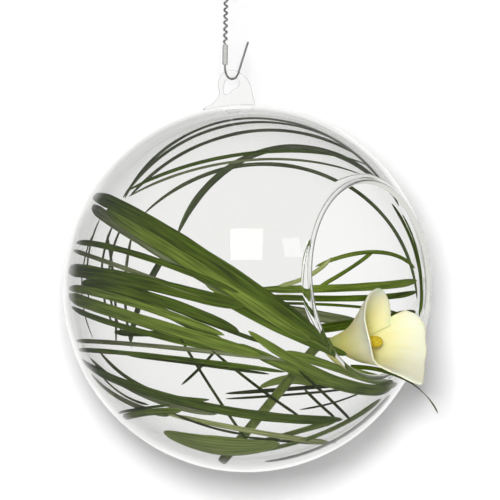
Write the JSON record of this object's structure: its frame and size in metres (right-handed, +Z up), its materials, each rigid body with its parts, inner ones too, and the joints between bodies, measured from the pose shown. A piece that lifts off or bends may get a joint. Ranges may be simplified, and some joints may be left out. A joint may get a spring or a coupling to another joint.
{
  "type": "hanging vase",
  "caption": "Hanging vase: a clear blown glass globe with a side mouth and a glass loop on a steel wire hook, holding curled grass, leaves and a calla lily.",
  "frame": {"origin": "centre of the hanger's wire eye, the point that the vase hangs from", "axes": "+Z up, -Y towards the viewer of the front, +X to the right; the mouth faces right and forward"},
  "size_m": [0.2034, 0.2, 0.2721],
  "materials": {
    "blown_glass": "polished",
    "steel_wire": "satin",
    "crimped_metal": "satin",
    "calla_spathe": "matte",
    "calla_spadix": "matte",
    "calla_stem": "matte",
    "leaf": "matte",
    "dark_grass": "matte",
    "pale_grass": "matte"
  },
  "bodies": {
    "hanger": {"hanger_wire": "steel_wire", "crimp_sleeve": "crimped_metal"},
    "vase": {"broad_leaf": "leaf", "calla_spadix": "calla_spadix", "calla_spathe": "calla_spathe", "calla_stem": "calla_stem", "glass_globe": "blown_glass", "grass_belt_1": "dark_grass", "grass_belt_2": "pale_grass", "grass_belt_3": "dark_grass", "grass_belt_4": "dark_grass", "grass_belt_5": "pale_grass", "grass_belt_6": "dark_grass", "grass_bottom_1": "dark_grass", "grass_bottom_2": "dark_grass", "grass_bottom_3": "dark_grass", "grass_bottom_4": "dark_grass", "grass_bottom_5": "dark_grass", "grass_bundle_1": "pale_grass", "grass_bundle_2": "pale_grass", "grass_bundle_3": "dark_grass", "grass_cross_1": "dark_grass", "grass_cross_2": "dark_grass", "grass_cross_3": "dark_grass", "grass_cross_4": "dark_grass", "grass_cross_5": "dark_grass", "grass_grey": "pale_grass", "grass_left_1": "dark_grass", "grass_left_2": "dark_grass", "grass_left_3": "dark_grass", "grass_left_4": "dark_grass", "grass_left_5": "dark_grass", "grass_low_1": "dark_grass", "grass_low_2": "dark_grass", "grass_low_3": "dark_grass", "grass_low_4": "dark_grass", "grass_low_5": "dark_grass", "grass_main_1": "dark_grass", "grass_main_2": "pale_grass", "grass_main_3": "dark_grass", "grass_right_1": "dark_grass", "grass_right_2": "dark_grass", "grass_right_3": "dark_grass", "grass_right_4": "dark_grass", "grass_right_5": "dark_grass", "grass_right_6": "dark_grass", "grass_right_7": "dark_grass", "grass_sweep_1": "dark_grass", "grass_sweep_2": "dark_grass", "grass_sweep_3": "dark_grass", "grass_tail": "dark_grass", "grass_top_1": "dark_grass", "grass_top_2": "dark_grass", "grass_top_3": "dark_grass", "grass_top_4": "dark_grass", "grass_top_5": "dark_grass", "grass_top_6": "dark_grass", "small_leaf": "leaf"}
  },
  "joints": [
    {"name": "vase_swing", "type": "hinge", "parent": "hanger", "child": "vase", "pos_m": [0.0032, 0, -0.05375], "axis": [0.6157, 0.788, 0], "range_deg": [-22, 22]}
  ]
}
